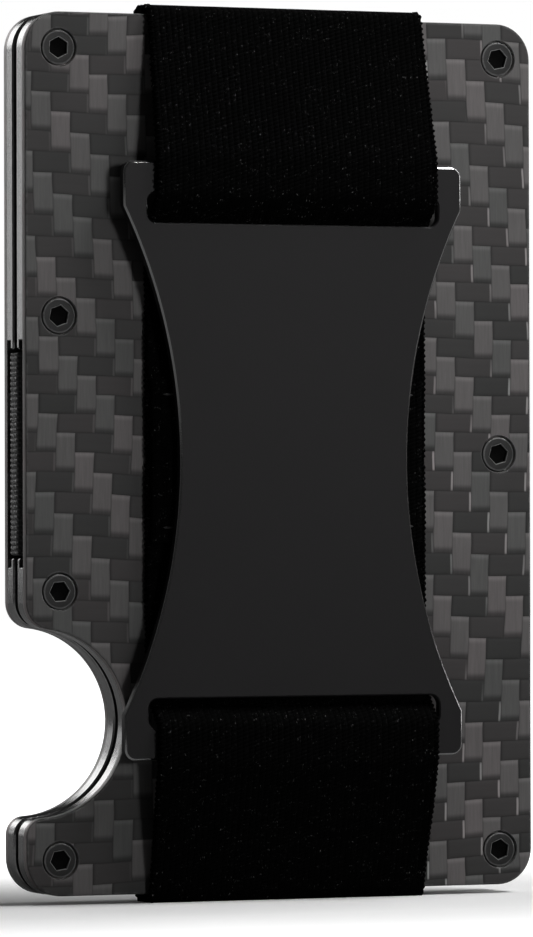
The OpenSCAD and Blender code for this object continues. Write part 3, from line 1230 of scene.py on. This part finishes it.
@dataclass
class Band:
    """A flat textile band swept along a path, with a soft edge on each side."""

    path: list[Vector]
    across: Vector
    width: Callable[[Station], float]
    thick: Callable[[Station], float]
    step: float = 0.6
    columns: int = 60
    start_run: float = 0.0
    back_run: float = 40.0
    relief: Callable[[float, float, Station], float] = lambda a, s, _: 0.0

    def section(self) -> list[tuple[float, float]]:
        """The band's cross-section as shares of its width and thickness, edges rounded."""
        top = []
        for i in range(self.columns + 1):
            u = -1 + 2 * i / self.columns
            top.append((u * 0.985, 1.0))
        right = [(0.993, 0.8), (1.0, 0.35), (1.0, -0.35), (0.993, -0.8)]
        bottom = [(u, -1.0) for u, _ in reversed(top)]
        left = [(-u, -v) for u, v in right]
        return top + right + bottom + left

    def draw(self, draft: Draft) -> None:
        """Add the band to a draft."""
        section, rings = self.section(), []
        for s in stations(self.path, self.across, self.step):
            half, t = self.width(s) / 2, self.thick(s) / 2
            ring = []
            for u, v in section:
                lift = self.relief(u * half, s.run + self.start_run, s) * v
                spot = s.at + self.across * u * half + s.out * (v * t + lift)
                along = s.run + self.start_run + (self.back_run if v < 0 else 0)
                ring.append(draft.point(spot, Vector((u * half, along, v))))
            rings.append(ring)
        draft.tube(rings)


def thread_turn(
    draft: Draft, s: Station, across: Vector, ahead: Vector, reach: float, half: float, r: float
) -> None:
    """One turn of edge thread round a band's side.

    Args:
        draft: where to draw it.
        s: the station that it is at.
        across: outward direction at this edge.
        ahead: direction along the band.
        reach: distance from the band's middle to its edge.
        half: half the band's thickness.
        r: radius of the thread.
    """
    sides, hops, rings = 6, 6, []
    for i in range(hops + 1):
        a = math.radians(-100 + 200 * i / hops)
        centre = s.at + across * (reach - 0.33 + 0.34 * math.cos(a))
        centre += s.out * ((half + 0.02) * math.sin(a)) + ahead * (0.16 * math.sin(a))
        tangent = (
            -across * 0.34 * math.sin(a) + s.out * half * math.cos(a) + ahead * 0.16 * math.cos(a)
        ).normalized()
        u = tangent.cross(ahead).normalized()
        v = tangent.cross(u)
        taper = 0.55 if i in (0, hops) else 1.0
        ring = []
        for k in range(sides):
            b = 2 * math.pi * k / sides
            spot = centre + (u * math.cos(b) + v * math.sin(b)) * r * taper
            ring.append(draft.point(spot, Vector((reach + i * 0.2, s.run + k * 0.1, 0.5))))
        rings.append(ring)
    draft.tube(rings)


@dataclass
class CashStrap:
    """Elastic webbing in one loop round the front panel and through the plate."""

    clear: float = 0.05
    plate_stand: float = 2.2
    bar_h: float = 3.0
    slot_h: float = 3.0
    dip_len: float = 4.0
    dip_r: float = 2.0
    brow_r: float = 0.7
    loose: float = 0.1
    fold_r: float = 0.62
    proud: float = 0.12
    narrow: float = 0.6
    narrow_len: float = 9.0
    wave: float = 0.16
    spare: float = 0.5
    shift: float = 0.2
    turn_pitch: float = 0.55
    turn_r: float = 0.15
    overlap_len: float = 16.0
    overlap_spare: float = 1.4
    slope_len: float = 13.0
    stitch_len: float = 1.1
    stitch_pitch: float = 1.6
    stitch_margin: float = 3.0

    def __post_init__(self) -> None:
        """Read the strap's, the panel's and the plate's sizes from the frame."""
        strap, plate = Span.of("cash_strap"), Span.of("strap_plate")
        cover, metal = Span.of("front_cover"), Span.of("front_frame")
        self.width = strap.high.x - strap.low.x
        self.thick = FOOT_Z - strap.low.z - self.clear
        self.panel_h = cover.high.z - cover.low.z
        self.panel_t = metal.high.y - cover.low.y
        self.plate_z = plate.middle.z - FOOT_Z
        self.plate_half = (plate.high.z - plate.low.z) / 2
        self.plate_face = plate.low.y - FACE_Y
        self.off = self.clear + self.thick / 2

    def half_route(self, up: int) -> list[tuple[float, float, float]]:
        """Corners from the panel's end to behind the plate: Y, Z and radius.

        Args:
            up: 1 above the plate and -1 below it.

        Returns:
            The corners, from the panel's end on.
        """
        off, inner = self.off, self.plate_half - self.bar_h - self.slot_h
        end = self.panel_h + off if up > 0 else -off
        back, loose = -self.plate_stand, off + self.loose
        return [
            (-off, end, self.fold_r),
            (self.plate_face - off, self.plate_z + up * (self.plate_half + off), self.brow_r),
            (self.plate_face - off, self.plate_z + up * (self.plate_half - self.bar_h - off), off),
            (back + loose, self.plate_z + up * (inner + loose), off),
            (-off, self.plate_z + up * (inner - self.dip_len), self.dip_r),
        ]

    def run(self, corners: Sequence[tuple[float, float, float]]) -> list[Vector]:
        """Rounded open path through corners given as Y, Z and radius."""
        return [Vector((self.shift, y + FACE_Y, z + FOOT_Z)) for y, z in open_path(corners)]

    def width_at(self, s: Station) -> float:
        """Width, drawn in a little where the strap turns over the panel's ends."""
        z = s.at.z - FOOT_Z
        end = min(abs(z + self.off), abs(z - self.panel_h - self.off))
        draw = math.exp(-((end / self.narrow_len) ** 2))
        wave = smooth_noise(Vector((0.3, s.at.y * 0.2, z * 0.16)))
        return self.width - self.spare - self.narrow * draw + self.wave * wave

    def thick_at(self, s: Station) -> float:
        """Thickness, a little fuller over the folds."""
        z = s.at.z - FOOT_Z
        over = z < 0 or z > self.panel_h
        return self.thick + (self.proud if over else 0.0)

    def relief(self, a: float, run: float, s: Station) -> float:
        """Slow waves across the webbing's face."""
        return 0.025 * smooth_noise(Vector((a * 0.25, run * 0.12, 2.7)))

    def piece(self, name: str, corners: Sequence[tuple[float, float, float]]) -> bpy.types.Object:
        """One stretch of the strap with the thread turns along its edges."""
        draft = Draft(Side.FRONT.place())
        across = Vector((1, 0, 0))
        band = Band(self.run(corners), across, self.width_at, self.thick_at, relief=self.relief)
        band.draw(draft)
        for s in stations(band.path, across, self.turn_pitch)[1:-1]:
            ahead = across.cross(s.out).normalized()
            reach, half = self.width_at(s) / 2, self.thick_at(s) / 2
            wobble = 0.06 * smooth_noise(Vector((s.run * 1.7, s.at.y, 4.1)))
            for sign in (-1, 1):
                thread_turn(draft, s, across * sign, ahead, reach + wobble, half, self.turn_r)
        return draft.build(name, crease=50)

    def overlap(self) -> bpy.types.Object:
        """The second layer that closes the loop, behind the plate."""
        y = -2 * self.clear - self.thick * 1.5
        ends = [self.plate_z + s * self.overlap_len / 2 for s in (1, -1)]
        draft = Draft(Side.FRONT.place())
        across = Vector((1, 0, 0))
        path = [Vector((0, y + self.clear + FACE_Y, z + FOOT_Z)) for z in ends]
        width = self.width - self.overlap_spare
        Band(path, across, lambda s: width, lambda s: self.thick, start_run=11).draw(draft)
        return draft.build("strap_overlap", crease=50)

    def stitching(self) -> bpy.types.Object:
        """Two rows of raised stitches that close the loop."""
        span = Span.of("strap_stitching")
        draft = Draft(Side.FRONT.place())
        pitch, r = self.stitch_pitch, (span.high.y - span.low.y) / 2
        count = int((self.width - self.stitch_margin) // pitch)
        y = span.middle.y
        for z in (span.low.z + r, span.high.z - r):
            for i in range(count):
                x = (i - (count - 1) / 2) * pitch
                self.stitch(draft, Vector((x, y, z)), self.stitch_len / 2, r)
        return draft.build("strap_thread", crease=60)

    def stitch(self, draft: Draft, middle: Vector, half: float, r: float) -> None:
        """One stitch: a bowed thread that dips into the cloth at both ends."""
        rings, hops, sides = [], 8, 8
        for i in range(hops + 1):
            t = -1 + 2 * i / hops
            centre = middle + Vector((t * half * 0.98, 0.35 * r * t * t, 0))
            size = r * math.sqrt(max(0.08, 1 - t**4)) * 0.9
            turns = [2 * math.pi * k / sides for k in range(sides)]
            spots = [Vector((0, math.cos(b) * size * 0.8, math.sin(b) * size)) for b in turns]
            rings.append([draft.point(centre + spot) for spot in spots])
        draft.tube(rings)

    def build(self) -> None:
        """Make the inner run, the two front runs, the overlap and its stitches."""
        in_y = self.panel_t + self.off
        apex = self.panel_t / 2
        top, foot = self.panel_h + self.off, -self.off
        upper, lower = self.half_route(1), self.half_route(-1)
        mid = (-self.off, self.plate_z, 0)
        inner = self.piece(
            "cash_strap_inner",
            [(apex, foot, 0), (in_y, foot, self.fold_r), (in_y, top, self.fold_r), (apex, top, 0)],
        )
        above = self.piece("cash_strap_upper", [(apex, top, 0), *upper, mid])
        below = self.piece("cash_strap_lower", [mid, *reversed(lower), (apex, foot, 0)])
        dress(inner, Webbing(), "front_panel", ["cash_strap"])
        for piece, start, end in (
            (above, self.panel_h, self.panel_h - self.slope_len),
            (below, 0.0, self.slope_len),
        ):
            dress(piece, Webbing(), "", ["cash_strap"])
            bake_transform(piece)
        dress(self.overlap(), Webbing(), "cash_plate", ["cash_strap"])
        dress(self.stitching(), Thread(), "cash_plate", ["strap_stitching"])


@dataclass
class Elastic:
    """One knitted elastic: a leg and a hem in each panel, joined by a web."""

    node: str
    thick: float = 0.8
    hem_len: float = 2.0
    hem_extra: float = 0.16
    bend_r: float = 0.38
    sink: float = 0.8
    step_from: float = 0.75
    step_to: float = 0.2
    inset: float = 0.02
    knit_pitch: float = 0.5
    knit_depth: float = 0.05
    thinner: float = 0.1
    lit_from: float = -0.3
    blend_past: float = 0.35

    def __post_init__(self) -> None:
        """Read the elastic's box from the frame."""
        self.span = Span.of(self.node)
        self.sign = -1 if self.span.middle.x < 0 else 1

    def path(self) -> list[Vector]:
        """The elastic's middle line, from its front leg round to its back one."""
        low, high, half = self.span.low, self.span.high, self.thick / 2
        extra = self.hem_extra / 2
        front, back = low.y + half + extra * 0.2, high.y - half - extra * 0.2
        edge = Span.of("back_frame").high.x - self.inset
        face = edge - self.knit_depth - (self.thick - self.thinner) / 2
        end = min(abs(low.x), abs(high.x))
        middle = (front + back) / 2
        corners = [
            (end, front, 0),
            (face - self.sink, front, self.bend_r),
            (face - self.sink, middle - self.step_from, 0.2),
            (face, middle - self.step_to, 0.3),
            (face, back, self.bend_r),
            (end, back, 0),
        ]
        return [Vector((self.sign * x, y, self.span.middle.z)) for x, y in open_path(corners)]

    def thick_at(self, s: Station) -> float:
        """Thickness, doubled back on itself at the hems."""
        end = min(abs(self.span.low.x), abs(self.span.high.x))
        inside = abs(s.at.x) - end
        return self.thick - self.thinner + (self.hem_extra if inside < self.hem_len else 0)

    def relief(self, a: float, run: float, s: Station) -> float:
        """Slanted knit rows on the part that shows."""
        phase = 2 * math.pi * (a / self.knit_pitch + run / (self.knit_pitch * 2.2))
        return self.knit_depth * math.sin(phase)

    def mark_lit_half(self, draft: Draft) -> None:
        """Mark the half of the web that stands proud at the back panel. Its finish paints that
        half paler as painted light, and the front half stays dark as painted shade.
        """
        middle = (self.span.low.y + self.span.high.y) / 2
        for v in draft.mesh.verts:
            if v.co.y / MM > middle + self.lit_from:
                v[draft.wear_and_painted_light] = 1.0

    def build(self) -> None:
        """Make the elastic, and leave it on no body."""
        width = self.span.high.z - self.span.low.z
        across = Vector((0, 0, self.sign))
        draft = Draft(Side.FRONT.place())
        Band(
            self.path(),
            across,
            lambda s: width - 0.2,
            self.thick_at,
            step=0.16,
            columns=150,
            relief=self.relief,
        ).draw(draft)
        self.mark_lit_half(draft)
        piece = draft.build(f"{self.node}_knit", crease=60)
        finish = Webbing(
            name="knitted_elastic",
            slot="elastic_webbing",
            pitch=0.5,
            slant=0.9,
            base=0.02,
            fleck=0.25,
            relief=0.14,
            rough=0.8,
            gloss=1.0,
        )
        dress(piece, finish, "", [self.node])
        near, far = Span.of("front_frame").high.y, Span.of("back_frame").low.y
        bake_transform(piece)


# Plate ------------------------------------------------------------------------------------


@dataclass
class StrapPlate:
    """The waisted plate with a strap slot near each end."""

    waist: float = 24.2
    prong_len: float = 4.4
    bar_h: float = 3.0
    slot_h: float = 3.0
    prong_wall: float = 2.5
    slot_r: float = 1.0
    corner_r: float = 1.1
    cut: float = 0.2
    highlight_x: Point = (-0.3, 0.7)
    highlight_z: Point = (-0.3, 1.5)

    def __post_init__(self) -> None:
        """Read the plate's box from the frame."""
        self.span = Span.of("strap_plate")
        self.half_w = self.span.high.x
        self.half_h = (self.span.high.z - self.span.low.z) / 2
        self.mid_z = self.span.middle.z
        self.thick = self.span.high.y - self.span.low.y

    def place(self, x: float, z: float, depth: float) -> Vector:
        """Point of the plate, with Z from its middle and depth from its face."""
        return Vector((x, self.span.low.y + depth, z + self.mid_z)) * MM

    def outline(self) -> Loop:
        """Both hollow sides and the four corners, anticlockwise."""
        half_len = self.half_h - self.prong_len
        hollow = self.half_w - self.waist / 2
        r = (half_len**2 + hollow**2) / (2 * hollow)
        a = math.degrees(math.asin(half_len / r))
        x, z, c = self.half_w - self.corner_r, self.half_h - self.corner_r, self.corner_r
        half = [
            *arc((x, -z), c, -90, 0, 8),
            *arc((self.waist / 2 + r, 0), r, 180 + a, 180 - a, 40),
            *arc((x, z), c, 0, 90, 8),
        ]
        return half + [(-px, -pz) for px, pz in half]

    def slots(self) -> list[Loop]:
        """The two slots."""
        w = self.half_w - self.prong_wall
        made = []
        for s in (-1, 1):
            z = s * (self.half_h - self.bar_h - self.slot_h / 2)
            box = [(w, -1), (w, 1), (-w, 1), (-w, -1)]
            made.append(rounded([(bx, z + bz * self.slot_h / 2, self.slot_r) for bx, bz in box]))
        return made

    def build(self) -> None:
        """Make the plate, with cut edges at its face and slots."""
        c, back = self.cut, 0.1
        rim = [
            Step(c, 0),
            Step(c * 0.97, c * 0.02, 1),
            Step(c * 0.3, c * 0.55, 1),
            Step(0, c, 0.5),
            Step(0, self.thick - back, 0.0),
            Step(back, self.thick, 0.3),
        ]
        slot = [
            Step(c * 0.7, 0),
            Step(c * 0.68, c * 0.02, 0.6),
            Step(0, c * 0.7, 0.4),
            Step(0, self.thick - back),
            Step(back, self.thick),
        ]
        draft = Draft(self.place)
        draft.walls([Wall(self.outline(), rim), *[Wall(s, slot, True) for s in self.slots()]])
        self.paint_slot_highlight(draft)
        dress(draft.build("waisted_plate"), BlastedPlate(), "cash_plate", ["strap_plate"])

    def paint_slot_highlight(self, draft: Draft) -> None:
        """Paint a highlight on the lower left corner of the upper slot, by marking its edge there
        as bright bare metal.
        """
        left = self.prong_wall - self.half_w
        foot = self.mid_z + self.half_h - self.bar_h - self.slot_h
        for v in draft.mesh.verts:
            across, rise = v.co.x / MM - left, v.co.z / MM - foot
            in_x = self.highlight_x[0] < across < self.highlight_x[1]
            in_z = self.highlight_z[0] < rise < self.highlight_z[1]
            if in_x and in_z and 0 < v[draft.wear_and_painted_light] < 1:
                v[draft.wear_and_painted_light] = 1.0


# Studio -----------------------------------------------------------------------------------


@dataclass(frozen=True)
class Lamp:
    """One soft light: where it stands, what it faces, its size in metres and its power."""

    name: str
    at: tuple[float, float, float]
    size: tuple[float, float]
    power: float
    towards: tuple[float, float, float] = (0.0, 0.0, 0.045)
    spread: float = 180.0

    def build(self) -> None:
        """Add the light."""
        data = bpy.data.lights.new(self.name, "AREA")
        data.shape = "RECTANGLE"
        data.size, data.size_y = self.size
        data.energy = self.power
        data.spread = math.radians(self.spread)
        made = bpy.data.objects.new(self.name, data)
        made.location = self.at
        aim = Vector(self.towards) - Vector(self.at)
        made.rotation_euler = aim.to_track_quat("-Z", "Y").to_euler()
        bpy.context.scene.collection.objects.link(made)


@dataclass(frozen=True)
class Studio:
    """Camera, lights, pale floor and surroundings."""

    camera_mm: tuple[float, float, float] = (-245.9, -580.2, 38.35)
    yaw: float = 22.86
    rise: float = 0.37
    roll: float = -0.152
    lens: float = 245.3
    lamps: tuple[Lamp, ...] = (
        Lamp("key", (0.18, -0.86, 0.17), (0.16, 0.16), 0.104, (0.085, 0.0, 0.135), 28),
        Lamp("card_low", (-0.3, 0.66, 0.095), (0.24, 0.13), 0.085),
        Lamp("card_high", (-0.16, 0.66, 0.29), (0.36, 0.24), 0.66),
        Lamp("strip_right", (0.8, 0.33, 0.4), (0.3, 0.8), 2.4),
        Lamp("top", (0.45, -0.2, 0.85), (0.5, 0.2), 7.2, (0.0, 0.0, 0.0)),
    )

    def camera(self) -> None:
        """Add the camera, turned about Z, tipped up a little and rolled."""
        data = bpy.data.cameras.new("camera")
        data.lens, data.sensor_width = self.lens, 36
        data.clip_start, data.clip_end = 0.01, 20
        made = bpy.data.objects.new("camera", data)
        turn = Matrix.Rotation(math.radians(-self.yaw), 4, "Z")
        tip = Matrix.Rotation(math.radians(90 + self.rise), 4, "X")
        roll = Matrix.Rotation(math.radians(self.roll), 4, "Z")
        made.matrix_world = Matrix.Translation(Vector(self.camera_mm) * MM) @ turn @ tip @ roll
        bpy.context.scene.collection.objects.link(made)
        bpy.context.scene.camera = made

    def floor(self) -> None:
        """Add a pale, slightly glossy floor that glows as painted light, dim next to the wallet's
        foot, which leaves painted shade there.
        """
        half = 1.5
        corners = [(-half, -half, 0), (half, -half, 0), (half, half, 0), (-half, half, 0)]
        data = bpy.data.meshes.new("floor")
        data.from_pydata(corners, [], [(0, 1, 2, 3)])
        made = bpy.data.objects.new("floor", data)
        bpy.context.scene.collection.objects.link(made)
        pale = bpy.data.materials.new("pale_floor")
        pale.use_nodes = True
        sheet = Sheet(pale.node_tree)
        skin = pale.node_tree.nodes["Principled BSDF"].inputs
        seen = Num(sheet, sheet.node("LightPath").outputs["Is Camera Ray"])
        x, y, _ = sheet.split(sheet.node("TexCoord").outputs["Object"])
        side = (x.do("ABSOLUTE") - 0.027).do("MAXIMUM", 0)
        away = (side * side + y * y).do("SQRT")
        # Painted light: to the camera the floor glows, from almost nothing beside the wallet's
        # foot to full white 0.1 m away, so the floor round the foot is darker as painted shade.
        painted_glow = away.ramp(0.004, 0.1, 0.02, 1.0) * seen
        sheet.feed(skin["Base Color"], sheet.tint(seen, grey(0.2), grey(0.88)))
        skin["Roughness"].default_value = 0.4
        skin["Specular IOR Level"].default_value = 0.0
        sheet.feed(skin["Emission Color"], sheet.even(painted_glow))
        skin["Emission Strength"].default_value = 1.0
        data.materials.append(pale)

    def world(self) -> None:
        """White to the camera, and dim grey to everything else."""
        made = bpy.data.worlds.new("studio")
        made.use_nodes = True
        sheet = Sheet(made.node_tree)
        made.node_tree.nodes.clear()
        dim, white = sheet.node("Background"), sheet.node("Background")
        dim.inputs["Color"].default_value = grey(0.02)
        white.inputs["Color"].default_value = grey(1.0)
        pick = sheet.node("MixShader")
        sheet.feed(pick.inputs[0], sheet.node("LightPath").outputs["Is Camera Ray"])
        sheet.feed(pick.inputs[1], dim.outputs[0])
        sheet.feed(pick.inputs[2], white.outputs[0])
        out = sheet.node("OutputWorld")
        sheet.feed(out.inputs[0], pick.outputs[0])
        bpy.context.scene.world = made

    def build(self) -> None:
        """Set the whole studio up."""
        scene = bpy.context.scene
        scene.view_settings.view_transform = "Standard"
        self.camera()
        self.floor()
        self.world()
        for lamp in self.lamps:
            lamp.build()


def main() -> None:
    """Build the wallet piece by piece, then the studio."""
    logging.basicConfig(level=logging.INFO, format="%(message)s")
    for side in Side:
        Panel(side).build()
    for node in ("left_elastic", "right_upper_elastic", "right_lower_elastic"):
        Elastic(node).build()
    CashStrap().build()
    StrapPlate().build()
    Studio().build()


if __name__ == "__main__":
    main()
